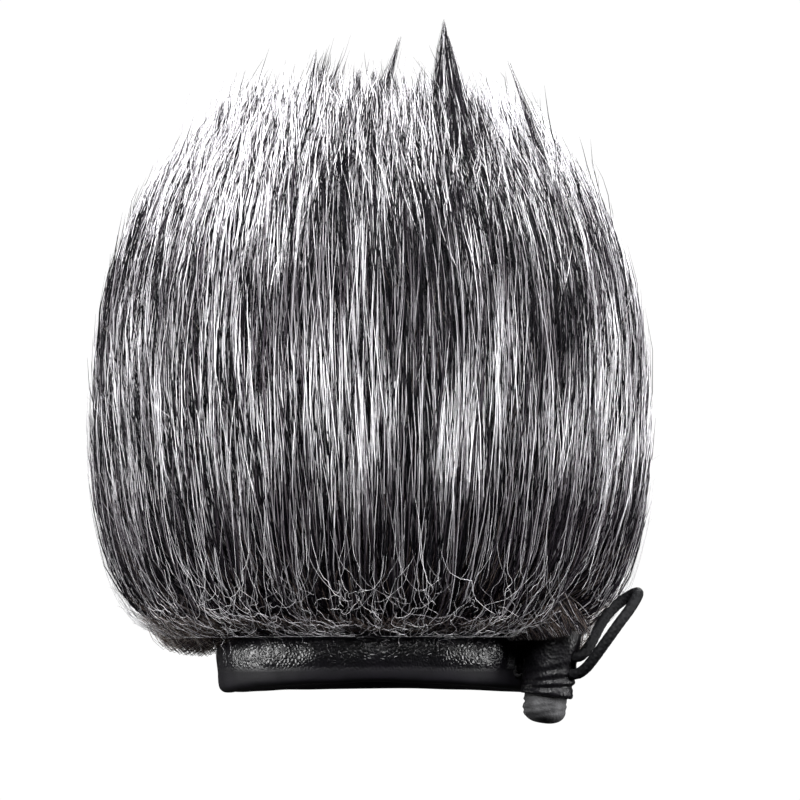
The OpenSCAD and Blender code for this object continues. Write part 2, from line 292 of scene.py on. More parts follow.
def woven_material(name, low, high, rib_scale, relief):
    """Ribbed cloth: the ribs run round at the scale given, with fine fibres over them."""
    material = principled(name, low, 0.85, {"Sheen Weight": 0.1})
    tree, place = object_place(material)
    mottle(tree, place, low, high, 700)
    ribs = node(tree, "TexWave", {"bands_direction": "Z", "Scale": rib_scale, "Distortion": 1.2,
                                  "Detail": 2}, {"Vector": place}).outputs["Fac"]
    fibres = noise(tree, place, 4000, 3)
    bump(tree, computed(tree, "ADD", ribs, fibres), relief, 0.8)
    to_shader(tree, "Roughness", spread(tree, fibres, 0.75, 0.95))
    return material


FIBRES = [principled(f"fibre_tone_{i}", colour, 0.5, {SPECULAR: 0.06 + 0.15 * colour[0]})
          for i, colour in enumerate(FIBRE_TONES + UNDERFUR_TONES)]
CORD_BLACK = surface("braided_elastic", (0.006, 0.006, 0.007), 0.6, {SPECULAR: 0.12},
                     ((0.0015, 0.0015, 0.002), (0.006, 0.006, 0.007), 1500), (6000, 3),
                     (0.00006, 0.7), (0.5, 0.75))
LEATHERETTE = leatherette_material()
THREAD_BLACK = woven_material("thread", (0.006, 0.006, 0.007), (0.02, 0.02, 0.022), 900, 0.00003)
TAPE_BLACK = woven_material("ribbed_tape", (0.006, 0.006, 0.007), (0.016, 0.016, 0.018), 260,
                            0.0001)
KNIT = woven_material("knit", (0.01, 0.009, 0.01), (0.03, 0.028, 0.03), 160, 0.0002)
FOAM = surface("open_cell_foam", (0.02, 0.02, 0.022), 0.95, {SPECULAR: 0.2},
               ((0.008, 0.008, 0.009), (0.032, 0.032, 0.035), 900), (1100,), (0.0006, 1.0),
               (0.85, 1.0))
LOCK_SKIN = surface("lock_skin", (0.01, 0.01, 0.012), 0.5, {SPECULAR: 0.2},
                    ((0.0015, 0.0015, 0.002), (0.006, 0.0055, 0.007), 420), (2000,),
                    (0.00012, 0.7), (0.3, 0.5))
GREY_RUBBER = surface("grey_rubber", (0.06, 0.06, 0.064), 0.8, {SPECULAR: 0.15},
                      ((0.02, 0.02, 0.021), (0.085, 0.085, 0.088), 330), (2600, 4),
                      (0.0002, 0.7), (0.62, 0.9), worn=True)
STEEL = surface("spring_steel", (0.56, 0.56, 0.55), 0.3, {"Metallic": 1.0}, None, (3000, 2),
                None, (0.22, 0.4))


# ---- camera, light and floor ----
VIEW_WIDTH = 125.6            # what the picture's width shows at the object
VIEW_CENTRE = (3.1, 0, 45.5)
VIEW_ELEVATION = -2.5
VIEW_DISTANCE = 1200
SENSOR = 36
LIT_CENTRE = (0, 0, 45)
# Soft boxes: azimuth (0 is in front), elevation, distance, width and power in watts.
LIGHTS = {"key_left": (-60, 30, 520, 220, 2.8), "key_right": (64, 28, 540, 220, 2.8),
          "strip_left": (-88, -6, 420, 200, 1.7), "strip_right": (88, -6, 420, 200, 1.7),
          "front_box": (0, 36, 560, 300, 7.2), "top_box": (10, 80, 500, 300, 2.6),
          "rim_back": (176, 30, 560, 320, 4.5)}
FLOOR_R = 3000
FLOOR_Z = -45


def add_to_scene(name, data):
    """A new object in the scene."""
    obj = bpy.data.objects.new(name, data)
    bpy.context.scene.collection.objects.link(obj)
    return obj


def aim(obj, target, azimuth, elevation, distance):
    """Places a camera or light round a target and turns it to face it."""
    a, e = math.radians(azimuth), math.radians(elevation)
    back = Vector((math.sin(a) * math.cos(e), -math.cos(a) * math.cos(e), math.sin(e)))
    obj.location = (Vector(target) + back * distance) * MM
    obj.rotation_euler = (-back).to_track_quat("-Z", "Y").to_euler()


def add_camera():
    """A long lens a little below the middle, looking along +Y."""
    camera = add_to_scene("camera", bpy.data.cameras.new("camera"))
    aim(camera, VIEW_CENTRE, 0, VIEW_ELEVATION, VIEW_DISTANCE)
    camera.data.sensor_width = SENSOR
    camera.data.lens = SENSOR * VIEW_DISTANCE / VIEW_WIDTH
    camera.data.clip_end = 100
    bpy.context.scene.camera = camera


def seen_directly(tree):
    """1 for what the camera sees and 0 for what lights the scene."""
    return tree.nodes.new("ShaderNodeLightPath").outputs["Is Camera Ray"]


def add_studio():
    """White surroundings, soft boxes all round and a pale floor that fades into the white."""
    world = bpy.data.worlds.new("studio")
    world.use_nodes = True
    tree = world.node_tree
    background = tree.nodes["Background"].inputs
    background["Color"].default_value = (1, 1, 1, 1)
    tree.links.new(spread(tree, seen_directly(tree), 0.03, 1.02), background["Strength"])
    bpy.context.scene.world = world
    bpy.context.scene.view_settings.view_transform = "Standard"
    for name, (azimuth, elevation, distance, size, watts) in LIGHTS.items():
        light = add_to_scene(name, bpy.data.lights.new(name, "AREA"))
        aim(light, LIT_CENTRE, azimuth, elevation, distance)
        light.data.size = size * MM
        light.data.energy = watts
    add_floor()


def add_floor():
    """A disc under the held-up windscreen, which throws no light back on it."""
    mesh = bpy.data.meshes.new("floor")
    ring = polar(FLOOR_R, full_turn(96), FLOOR_Z) * MM
    mesh.from_pydata(ring.tolist(), [], [list(range(len(ring)))])
    floor = add_to_scene("floor", mesh)
    material = principled("floor", (0.86, 0.86, 0.86), 0.9, {"Emission Color": (1, 1, 1, 1)})
    tree, place = object_place(material)
    away = node(tree, "VectorMath", {"operation": "LENGTH"}, {0: place}).outputs["Value"]
    fade = spread(tree, away, 0, 1, {"From Min": 0.15, "From Max": 1.1})
    to_shader(tree, "Emission Strength", computed(tree, "MULTIPLY", fade, seen_directly(tree)))
    mesh.materials.append(material)
    floor.visible_diffuse = floor.visible_glossy = False


# ---- meshes of the sewn and moulded pieces ----
def turned(profile, angles):
    """Points (angle, profile, xyz) of a profile of radii and heights turned round the axis."""
    r, z = np.array(profile).T
    return polar(r, angles[:, None], z)


def lofted(grid, round_u=True):
    """Vertices and four-sided faces of a grid of points, whose rows are rings; with round_u the
    last ring joins the first."""
    rows, columns = grid.shape[:2]
    u = np.arange(rows if round_u else rows - 1)[:, None]
    v = np.arange(columns)[None, :]
    u_next, v_next = (u + 1) % rows, (v + 1) % columns
    corner_numbers = [u * columns + v, u_next * columns + v, u_next * columns + v_next,
                      u * columns + v_next]
    faces = np.stack(np.broadcast_arrays(*corner_numbers), -1).reshape(-1, 4)
    return grid.reshape(-1, 3), faces.tolist()


def capped(rings):
    """Vertices and faces of a row of rings with a flat face over each end."""
    vertices, faces = lofted(rings, round_u=False)
    sides = rings.shape[1]
    last = len(vertices) - sides
    return vertices, faces + [list(range(sides)), list(range(last, last + sides))]


def tube(path, radius, sides):
    """A closed tube along a path; radius is one number or a row of them for each place."""
    runs = unit(np.gradient(path, axis=0))
    side = np.cross(runs[0], (0.3, 0.2, 0.9))
    turns = full_turn(sides)[:, None]
    rings = []
    for place, run, reach in zip(path, runs, np.broadcast_to(radius, (len(path), sides))):
        side = unit(side - run * (side @ run))
        across = np.cos(turns) * side + np.sin(turns) * np.cross(run, side)
        rings.append(place + reach[:, None] * across)
    return capped(np.array(rings))


def joined(parts):
    """Several lots of vertices and faces as one."""
    vertices, faces, count = [], [], 0
    for part_vertices, part_faces in parts:
        vertices.append(part_vertices)
        faces += [[i + count for i in face] for face in part_faces]
        count += len(part_vertices)
    return np.vstack(vertices), faces


def thread(path, d, pitch=1.1):
    """A twisted two-ply thread along a line."""
    line, s = resample_line(path, 0.2)
    runs = unit(np.gradient(line, axis=0))
    side = unit(np.cross(runs, (0.2, 0.3, 0.9)))
    other = np.cross(runs, side)
    plies = []
    for ply in (0, math.pi):
        a = (2 * math.pi * s / pitch + ply)[:, None]
        plies.append(tube(line + 0.22 * d * (np.cos(a) * side + np.sin(a) * other), 0.28 * d, 6))
    return joined(plies)


def braid(path, d, pitch=2.4, carriers=5, sides=30):
    """A braided round cord along a line."""
    line, s = resample_line(path, 0.12)
    turns = carriers * full_turn(sides)[None, :]
    along = (4 * math.pi * s / pitch)[:, None]
    over = np.maximum(np.cos(turns + along), np.cos(turns - along))
    return tube(line, d / 2 * (0.95 + 0.06 * over), sides)


def solid(name, made, material, hollow_from=None):
    """A smooth closed object from vertices in millimetres and faces; the faces from hollow_from
    on are the walls of a hollow inside it."""
    vertices, faces = made
    mesh = bpy.data.meshes.new(name)
    mesh.from_pydata((np.asarray(vertices) * MM).tolist(), [], faces)
    shape = bmesh.new()
    shape.from_mesh(mesh)
    bmesh.ops.recalc_face_normals(shape, faces=shape.faces)
    if hollow_from is not None:
        shape.faces.ensure_lookup_table()
        bmesh.ops.reverse_faces(shape, faces=shape.faces[hollow_from:])
    shape.to_mesh(mesh)
    shape.free()
    mesh.polygons.foreach_set("use_smooth", np.ones(len(mesh.polygons), bool))
    mesh.materials.append(material)
    return add_to_scene(name, mesh)


def stands_for(obj, cad_node, body):
    """Hides the CAD node that a piece stands for and puts the piece on the body it rides on, if
    only one.
    """
    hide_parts(cad_node)
    if body:
        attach(obj, body)
    return obj


def piece(name, made, material, cad_node, body="windscreen", hollow_from=None):
    """A solid that stands for a CAD node."""
    return stands_for(solid(name, made, material, hollow_from), cad_node, body)


def follow_both(obj, bodies, start, end):
    """Bakes a piece's placement into its mesh."""
    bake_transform(obj)


def cut(obj, made):
    """Takes a closed shape out of a piece."""
    cutter = solid("cutter", made, obj.data.materials[0])
    modifier = obj.modifiers.new("cut", "BOOLEAN")
    modifier.operation = "DIFFERENCE"
    modifier.solver = "EXACT"
    modifier.object = cutter
    obj.data = bpy.data.meshes.new_from_object(
        obj.evaluated_get(bpy.context.evaluated_depsgraph_get()))
    obj.modifiers.clear()
    bpy.data.objects.remove(cutter)


# ---- the cord lock's own axes: X through its hole, Z along the barrel ----
JOINTS = {joint["name"]: joint for joint in frame["joints"]}
PULL, PRESS = JOINTS["lock_pull"], JOINTS["plunger_press"]
LOCK_AXES = np.array([PULL["axis"], np.cross(PRESS["axis"], PULL["axis"]), PRESS["axis"]])
PULL_TRAVEL = PULL["range_m"][1] / MM
PRESS_TRAVEL = PRESS["range_m"][1] / MM
LOCK_ANGLE = math.radians(30)
LOCK_PLACE = np.array([26.41, -15.25, 4.1])     # middle of the lock's hole
BARREL_R = 4.1
BARREL_LOW, BARREL_HIGH = -5.1, 8
BARREL_CAP = 0.8
BORE_R = 3.6
PLUNGER_R = 3.35
PLUNGER_LOW, PLUNGER_HIGH = -9.4, 3.3
PLUNGER_END = 2.4             # height of the plunger's rounded end
PIN_R, PIN_H = 1.3, 0.8       # the plunger's pin inside the spring
SLOT_W = 2.3
SLOT_H = 4.7
SPRING_D = 5
SPRING_WIRE = 0.4
SPRING_TURNS = 3


def from_lock(points):
    """Points given in the lock's own axes, in the part's frame."""
    return LOCK_PLACE + np.asarray(points, float) @ LOCK_AXES


def from_exit(out, aside, z):
    """A point from its distance out along the lock's angle, offset sideways and height."""
    c, s = math.cos(LOCK_ANGLE), math.sin(LOCK_ANGLE)
    return np.array([out * c + aside * s, aside * c - out * s, z])


# ---- the elastic cord ----
CORD_D = 1.7
STRAND_GAP = 2.5
TUNNEL_R = COLLAR_R - 1.7                       # middle of the collar's tunnel
TURN_R = 2.5                                    # turn of a strand from the tunnel to the lock
STRAND_PLACES = (3.4, 0.8, -1.8)                # along the lock's X, from the loop inwards
# Route of the loop outside the lock: out of the lower hole, up to its tip and back.
LOOP = [(29.3, -17.1, 2.4), (30.5, -17.8, 2.4), (31.8, -18.5, 3.3), (33.1, -19.1, 4.9),
        (34.4, -19.5, 6.7), (35.7, -19.6, 8.5), (37, -19.3, 10.3), (38.3, -18.5, 12),
        (39.3, -17.3, 13.5), (39.9, -15.8, 14.6), (39.9, -14.1, 15), (39.2, -12.6, 14.8),
        (37.9, -11.8, 14), (36.5, -12, 12.9), (35.2, -12.9, 11.5), (34.1, -14.3, 9.9),
        (33.2, -15.7, 8.2), (32.2, -16.9, 6.4), (31, -17.5, 5.2), (29.7, -17.1, 4.9)]


def add_loop():
    """The free loop of the drawcord beyond the lock, braided."""
    line, s = resample_line(smooth_line(LOOP, 8), 0.4)
    loop = piece("drawcord_loop_braid", braid(line, CORD_D), CORD_BLACK,
                 "drawcord_loop", "lock")


def strand(side):
    """Half of the drawcord: from the lock's hole into the tunnel and round to the far side."""
    aside = side * STRAND_GAP / 2
    start_z = from_lock([0.4 - BARREL_R, 0, aside])[2]
    bend = math.asin(TURN_R / TUNNEL_R)
    points = [from_lock([x, 0, aside]) for x in STRAND_PLACES]
    for a in np.radians([0, 22.5, 45, 67.5]):
        points.append(from_exit(TUNNEL_R + TURN_R * (1 - math.sin(a)),
                                side * TURN_R * (1 - math.cos(a)),
                                start_z + math.degrees(a) / 150))
    for share in np.linspace(0, 1, 16):
        a = side * (bend + (math.pi - bend) * share) - LOCK_ANGLE
        z = start_z + 0.6 + (COLLAR_H / 2 - start_z - 0.6) * math.sin(share * math.pi / 2)
        points.append(polar(TUNNEL_R, a, z))
    return np.array(points)


def add_drawcord():
    """The cord in the collar's tunnel, both halves from the lock's holes round to the far side."""
    halves = [braid(smooth_line(strand(side), 6), CORD_D) for side in (-1, 1)]
    ring = piece("drawcord_braid", joined(halves), CORD_BLACK, "drawcord", None)
    follow_both(ring, ("windscreen", "lock"), from_exit(COLLAR_R - 1, 0, EXIT_Z),
                from_exit(COLLAR_R + 4.6, 0, EXIT_Z))


# ---- the collar ----
# Outline of the folded band, round from the middle of its top: radii and heights.
COLLAR_LINE = [(24.0, 8.25), (24.9, 8.15), (25.5, 7.5), (25.85, 6.5), (25.95, 5.3),
               (25.83, 4.1), (25.66, 3.3), (25.56, 2.8), (25.53, 2.2), (25.45, 1.3),
               (25.2, 0.55), (24.6, 0.1), (23.8, 0), (22.9, 0.12), (22.4, 0.6), (22.22, 1.6),
               (22.2, 4), (22.2, 6.6), (22.35, 8), (22.9, 8.3)]
LEATHER_T = 0.6
GATHER = 0.16                 # depth of the gathers
SADDLE = 0.35                 # rise of the mouth's edge at front and back, its fall at the sides
FRONT_RISE = 0.7              # how much more the edge rises in front
EXIT_W, EXIT_H, EXIT_CORNER, EXIT_Z = 5.0, 4.8, 0.8, 4.7
STITCH_PITCH = 0.27           # of the close stitches round the opening
STITCH_OUT, STITCH_ACROSS = 0.34, 0.26          # half sizes of such a stitch
STITCH_R = 0.11
TACK_TURN, TACK_STEP = 8.6, 0.76                # degrees to a bar tack and between its stitches
TACK_HALF = 1.5
SEAM_R, SEAM_Z, SEAM_STITCHES = 22.42, 10.4, 40


def add_collar():
    """The plump folded band round its tunnel, gathered a little by the elastic inside it."""
    line = closed_loop(COLLAR_LINE, 4)
    runs = unit(np.roll(line, -1, axis=0) - np.roll(line, 1, axis=0))
    tunnel = line + LEATHER_T * np.column_stack([runs[:, 1], -runs[:, 0]])
    parts = []
    for loop in (line, tunnel):
        grid = turned(loop, full_turn(420))
        angle = np.arctan2(grid[..., 1], grid[..., 0])
        radius = np.hypot(grid[..., 0], grid[..., 1])
        gathers = soft_noise(grid * (1, 1, 0.25), 2.2, 11) + 0.6 * soft_noise(grid, 1.1, 12)
        upper = 0.35 + 0.65 * smoother(2.4, 4.5, grid[..., 2])
        grown = 1 + smoother(24.2, 25.2, radius) * upper * GATHER * gathers / radius
        low = 1 - smoother(0, 6, grid[..., 2])
        front = np.clip(-np.sin(angle), 0, 1)**2
        grid[..., 2] += low * (0.1 * soft_noise(grid, 5, 13) - SADDLE * np.cos(2 * angle)
                               + FRONT_RISE * front)
        grid[..., :2] *= grown[..., None]
        parts.append(lofted(grid))
    band = piece("collar_cover", joined(parts), LEATHERETTE, "collar_band",
                 hollow_from=len(parts[0][1]))
    rings = [[from_exit(out, y, EXIT_Z + z) for y, z in exit_outline(0.1)]
             for out in (TUNNEL_R + 1, COLLAR_R + 3)]
    cut(band, capped(np.array(rings)))


def exit_outline(grow, points=16):
    """Outline of the cord's opening, as offsets sideways and up from its middle."""
    w, h, c = EXIT_W / 2 + grow, EXIT_H / 2 + grow, EXIT_CORNER + grow
    line = []
    for k, (side, up) in enumerate([(1, 1), (-1, 1), (-1, -1), (1, -1)]):
        for a in np.radians(np.linspace(90 * k, 90 * k + 90, points // 4 + 1)):
            line.append((side * (w - c) + c * math.cos(a), up * (h - c) + c * math.sin(a)))
    return line


def add_buttonhole():
    """A close round of stitches over the opening's edge."""
    rim = np.array([from_exit(COLLAR_R - 0.1, y, EXIT_Z + z) for y, z in exit_outline(0.15, 48)])
    rim, s = resample_line(np.vstack([rim, rim[:1]]), 0.045)
    outward = from_exit(1, 0, 0)
    offset = rim - from_exit(COLLAR_R - 0.1, 0, EXIT_Z)
    away = unit(offset - np.outer(offset @ outward, outward))
    a = (2 * math.pi * s / STITCH_PITCH)[:, None]
    coil = rim + STITCH_OUT * np.cos(a) * outward + STITCH_ACROSS * np.sin(a) * away
    piece("exit_buttonhole_stitches", tube(coil, STITCH_R, 6), THREAD_BLACK,
          "exit_buttonhole")


def add_bar_tacks():
    """A row of upright stitches at each side of the opening."""
    heights = np.linspace(EXIT_Z - TACK_HALF, EXIT_Z + TACK_HALF, 9)
    bulge = COLLAR_R + 0.42 - 0.25 * np.linspace(-1, 1, 9)**2
    angles = [math.radians(side * TACK_TURN + i * TACK_STEP) - LOCK_ANGLE
              for side in (-1, 1) for i in range(-2, 3)]
    parts = [thread(polar(bulge, a, heights), 0.34) for a in angles]
    piece("exit_bar_tack_stitches", joined(parts), THREAD_BLACK, "exit_bar_tacks")


def add_collar_seam():
    """The ring of stitches that holds the collar, the tape and the bag together."""
    r = SEAM_R + 0.3 * np.abs(np.linspace(-1, 1, 9))**3
    step = 2 * math.pi / SEAM_STITCHES
    parts = [thread(polar(r, step * (i + np.linspace(0.02, 0.68, 9)), SEAM_Z), 0.38)
             for i in range(SEAM_STITCHES)]
    piece("collar_seam_stitches", joined(parts), THREAD_BLACK, "collar_seam_thread")


# ---- inside the bag ----
TAPE_TOP = 13.6
TAPE_R = 23.2
TAPE_T = 0.5
LINER_R = 22.4
LINER_WALL_TOP = 56
LINER_CROWN = 3.8             # foam over the top of the cavity
LINER_GAP = 0.3               # between the foam and the seam allowances
BACKING_T = 1.2
ALLOWANCE = 5.0


def add_tape():
    """The binding tape over the seam, with soft edges and a slight ripple."""
    inner, middle = TAPE_R - TAPE_T, TAPE_R - TAPE_T / 2
    low, high = COLLAR_H + 0.3, TAPE_TOP - 0.3
    line = [(TAPE_R, low), (TAPE_R + 0.02, 11), (TAPE_R - 0.02, high), (middle, TAPE_TOP),
            (inner, high), (inner, 11), (inner, low), (middle, COLLAR_H + 0.05)]
    grid = turned(closed_loop(line, 4), full_turn(240))
    grid[..., :2] *= 1 + 0.0025 * soft_noise(grid * (1, 1, 0.5), 3, 21)[..., None]
    piece("binding_tape_weave", lofted(grid), TAPE_BLACK, "binding_tape")


def inset(line, depth):
    """An outline moved inwards; its ends stay on their height and on the axis."""
    runs = unit(np.gradient(line, axis=0))
    moved = np.column_stack([line[:, 0] - depth * runs[:, 1], line[:, 1] + depth * runs[:, 0]])
    moved[0] = line[0] - (depth, 0)
    moved[-1] = line[-1] - (0, depth)
    return np.column_stack([np.maximum(moved[:, 0], 0.02), moved[:, 1]])


def shell_part(outer, inner, start, end, columns):
    """A closed piece of a turned shell between two angles."""
    loop = np.vstack([outer, inner[::-1]])
    vertices, faces = lofted(turned(loop, np.linspace(start, end, columns)), round_u=False)
    half = len(outer)
    for first in (0, (columns - 1) * len(loop)):
        faces += [[first + i, first + i + 1, first + 2 * half - 2 - i, first + 2 * half - 1 - i]
                  for i in range(half - 1)]
    return vertices, faces


def add_backing():
    """The two knitted panels, each with its seam allowance turned in at both sides."""
    outer = BAG_LINE + 0
    outer[-1, 0] = 0.02
    turned_in = [inset(BAG_LINE, depth)[12:] for depth in (BACKING_T, 2 * BACKING_T)]
    for side, start in (("front", -math.pi), ("back", 0)):
        parts = [shell_part(outer, inset(BAG_LINE, BACKING_T), start + 0.004,
                            start + math.pi - 0.004, 90)]
        reach = ALLOWANCE / BAG_R
        for low in (start + 0.012, start + math.pi - reach):
            parts.append(shell_part(*turned_in, low, low + reach - 0.012, 8))
        panel = piece(f"knit_panel_{side}", joined(parts), KNIT,
                      f"backing_{side}")


def add_side_seam():
    """Stitches between the two allowances, up one side, over the crown and down the other."""
    line = inset(BAG_LINE, BACKING_T + 0.5)
    line = line[line[:, 1] > TAPE_TOP + 1.5]
    right = polar(line[:, 0], 0, line[:, 1])
    arch, s = resample_line(np.vstack([right, (right * (-1, 1, 1))[::-1]]), 0.2)
    pitch, stitch = 3.2, 2.0
    parts = [thread(arch[(s >= start) & (s <= start + stitch)], 0.45)
             for start in np.arange(0.4, s[-1] - stitch, pitch)]
    piece("side_seam_stitches", joined(parts), THREAD_BLACK, "side_seam_thread")


def add_liner():
    """The foam liner, cut with a straight inside and a dome under the crown."""
    outer = inset(BAG_LINE, 2 * BACKING_T + LINER_GAP)
    outer = outer[outer[:, 1] > TAPE_TOP + 0.2]
    top = BAG_TOP - 2 * BACKING_T - LINER_GAP - LINER_CROWN
    a = np.radians(np.linspace(90, 0, 16))
    dome = np.column_stack([np.maximum(LINER_R * np.cos(a), 0.02),
                            LINER_WALL_TOP + (top - LINER_WALL_TOP) * np.sin(a)])
    wall = np.column_stack([np.full(14, LINER_R),
                            np.linspace(LINER_WALL_TOP - 4, TAPE_TOP + 0.5, 14)])
    foot = [(LINER_R + 0.5, TAPE_TOP + 0.05), (outer[0, 0] - 0.5, TAPE_TOP + 0.05)]
    grid = turned(np.vstack([outer, dome, wall, foot]), full_turn(160))
    grid[..., :2] *= 1 + 0.003 * soft_noise(grid, 4, 31)[..., None]
    liner = piece("liner_foam", lofted(grid), FOAM, "foam_liner")


# ---- the cord lock ----
# Creases in a round skin: height, rise to the side, depth and half width.
BARREL_CREASES = [(-3.9, 0.7, 0.3, 0.35), (-2.7, 1.1, 0.22, 0.4), (-1.2, 1.6, 0.14, 0.5)]
GRIP_CREASES = [(-5.9, 0.5, 0.22, 0.2), (-6.8, 0.9, 0.18, 0.24), (-7.9, 0.9, 0.1, 0.3)]
FACING = math.radians(-60)    # the side of the lock that faces the front, in its own axes
RIPPLE = 0.05


def creased(radius, angle, z, creases, seed):
    """Radii with slanting creases and a little unevenness."""
    for height, rise, depth, width in creases:
        offset = z - height - rise * np.sin(angle - FACING)
        radius = radius - depth * np.exp(-(offset / width)**2)
        radius = radius + 0.5 * depth * np.exp(-((offset - 1.8 * width) / width)**2)
    return radius + RIPPLE * soft_noise(polar(4, angle, z), 2, seed)


def lock_solid(line, creases, seed):
    """A turned solid in the lock's axes from (radius, height, share of the relief)."""
    radius, height, relief = np.array(line).T[:, :, None]
    angle = full_turn(110)
    made = creased(radius, angle, height, creases, seed)
    return capped(from_lock(polar(radius + (made - radius) * relief, angle, height)))


def slot(low, high):
    """A block along the lock's X with round ends above and below."""
    r = SLOT_W / 2
    line = [(r * math.cos(a), middle + r * math.sin(a))
            for middle, start in ((high - r, 0), (low + r, 180))
            for a in np.radians(np.linspace(start, start + 180, 13))]
    return capped(from_lock([[(x, y, z) for y, z in line] for x in (-6, 6)]))


def add_barrel():
    """The lock's barrel: plump, open below, creased towards its lower end."""
    rows = [(0.05, BARREL_HIGH, 0), (2.2, BARREL_HIGH, 0), (3.3, BARREL_HIGH - 0.15, 0.3),
            (3.85, BARREL_HIGH - 0.55, 1)]
    rows += [(BARREL_R + 0.1 * math.sin(math.pi * t), BARREL_HIGH - 1.2 - 11 * t, 1)
             for t in np.linspace(0, 1, 56)]
    rows += [(BARREL_R + 0.12, BARREL_LOW + 0.55, 1), (BARREL_R + 0.05, BARREL_LOW + 0.15, 0.7),
             (BARREL_R - 0.2, BARREL_LOW - 0.05, 0.2), (BORE_R, BARREL_LOW + 0.1, 0),
             (BORE_R, BARREL_LOW + 2.1, 0), (BORE_R, BARREL_HIGH - BARREL_CAP, 0),
             (0.05, BARREL_HIGH - BARREL_CAP, 0)]
    barrel = piece("lock_barrel_skin", lock_solid(rows, BARREL_CREASES, 41), LOCK_SKIN,
                   "lock_barrel", "lock")
    cut(barrel, slot(-SLOT_H / 2, SLOT_H / 2))


def add_plunger():
    """The plunger, its end rounded and creased like a worn rubber cap."""
    foot = PLUNGER_LOW + PLUNGER_END
    rows = [(PLUNGER_R * math.sin(t)**0.8 + 0.02, foot - PLUNGER_END * abs(math.cos(t))**0.8,
             min(t, 1)) for t in np.linspace(0, math.pi / 2, 18)]
    rows += [(PLUNGER_R, z, 1) for z in np.linspace(foot + 0.25, -4.6, 7)]
    rows += [(PLUNGER_R, z, 0) for z in np.linspace(-4.2, PLUNGER_HIGH - 0.2, 8)]
    pin_top = PLUNGER_HIGH + PIN_H
    rows += [(PLUNGER_R - 0.2, PLUNGER_HIGH, 0), (PIN_R, PLUNGER_HIGH, 0),
             (PIN_R - 0.05, pin_top - 0.1, 0), (PIN_R - 0.2, pin_top, 0), (0.02, pin_top, 0)]
    plunger = piece("lock_plunger_grip", lock_solid(rows, GRIP_CREASES, 42), GREY_RUBBER,
                    "lock_plunger", "plunger")
    cut(plunger, slot(-SLOT_H / 2 - PRESS_TRAVEL, SLOT_H / 2))


def add_spring():
    """The spring between the plunger and the barrel's cap."""
    low, high = PLUNGER_HIGH, BARREL_HIGH - BARREL_CAP
    a = np.radians(np.arange(0, 360 * SPRING_TURNS + 1, 12))
    height = np.linspace(low + SPRING_WIRE / 2, high - SPRING_WIRE / 2, len(a))
    path = from_lock(polar((SPRING_D - SPRING_WIRE) / 2, a, height))
    spring = piece("lock_spring_wire", tube(path, SPRING_WIRE / 2, 10), STEEL,
                   "lock_spring", None)
    follow_both(spring, ("plunger", "lock"), *from_lock([(0, 0, low), (0, 0, high)]))


# ---- fur: how it grows ----
GRID = 0.5                    # pitch of the table that the pile's direction is looked up in
GRID_R = 56
GRID_Z = 112
STEP = 1.0                    # length of a growing strand's step
BEND = 2.6                    # how sharply strands turn from the backing into the pile
LOCK_ROOM = BARREL_R + 0.4    # the pocket that the pile leaves for the lock
LOCK_MIDDLE = (BARREL_LOW + BARREL_HIGH) / 2
LOCK_HALF = (BARREL_HIGH - BARREL_LOW) / 2 + 0.7


def nearest_on(line, points):
    """For each point, its distance outside a line and the line's direction there."""
    offset = points[:, None] - line
    nearest = np.linalg.norm(offset, axis=2).argmin(axis=1)
    run = unit(np.gradient(line, axis=0))[nearest]
    away = offset[np.arange(len(points)), nearest]
    distance = np.linalg.norm(away, axis=1)
    outside = away[:, 0] * run[:, 1] - away[:, 1] * run[:, 0] > 0
    return np.where(outside, distance, -distance), run


def pile_field():
    """For places in the pile: depth, the comb's direction, the backing's normal and the
    distance outside the fur's outline."""
    r, z = np.meshgrid(np.arange(0, GRID_R, GRID), np.arange(0, GRID_Z, GRID), indexing="ij")
    points = np.column_stack([r.ravel(), z.ravel()])
    above_bag, bag_run = nearest_on(BAG_LINE, points)
    above_fur, fur_run = nearest_on(FUR_LINE, points)
    depth = above_bag / np.maximum(above_bag - above_fur, 0.5)
    share = np.clip(depth, 0, 1)[:, None]
    combed = bag_run * (1 - share) + fur_run * share
    upright = 0.3 * smoother(40, 56, points[:, 1:]) + 0.7 * smoother(58, 76, points[:, 1:])
    inward = np.column_stack([-np.clip(points[:, 0] / 85, 0, 0.38), np.ones(len(points))])
    combed = unit(combed * (1 - upright) + inward * upright)
    normal = np.column_stack([bag_run[:, 1], -bag_run[:, 0]])
    return np.column_stack([depth, combed, normal, above_fur]).reshape(*r.shape, 6)


FIELD = pile_field()


def look_up(r, z):
    """Rows of the pile's table for places given by radius and height."""
    i = np.clip((r / GRID).round().astype(int), 0, FIELD.shape[0] - 1)
    k = np.clip((z / GRID).round().astype(int), 0, FIELD.shape[1] - 1)
    return FIELD[i, k]


def roots(count):
    """Places spread evenly over the knitted bag: angles and (radius, height)."""
    area = np.concatenate([[0], np.cumsum(BAG_RUNS * (BAG_MIDDLES + 2))])
    share = random.uniform(0, 1, count) * area[-1]
    place = [np.interp(share, area, BAG_LINE[:, k]) for k in (0, 1)]
    return random.uniform(-math.pi, math.pi, count), np.column_stack(place)


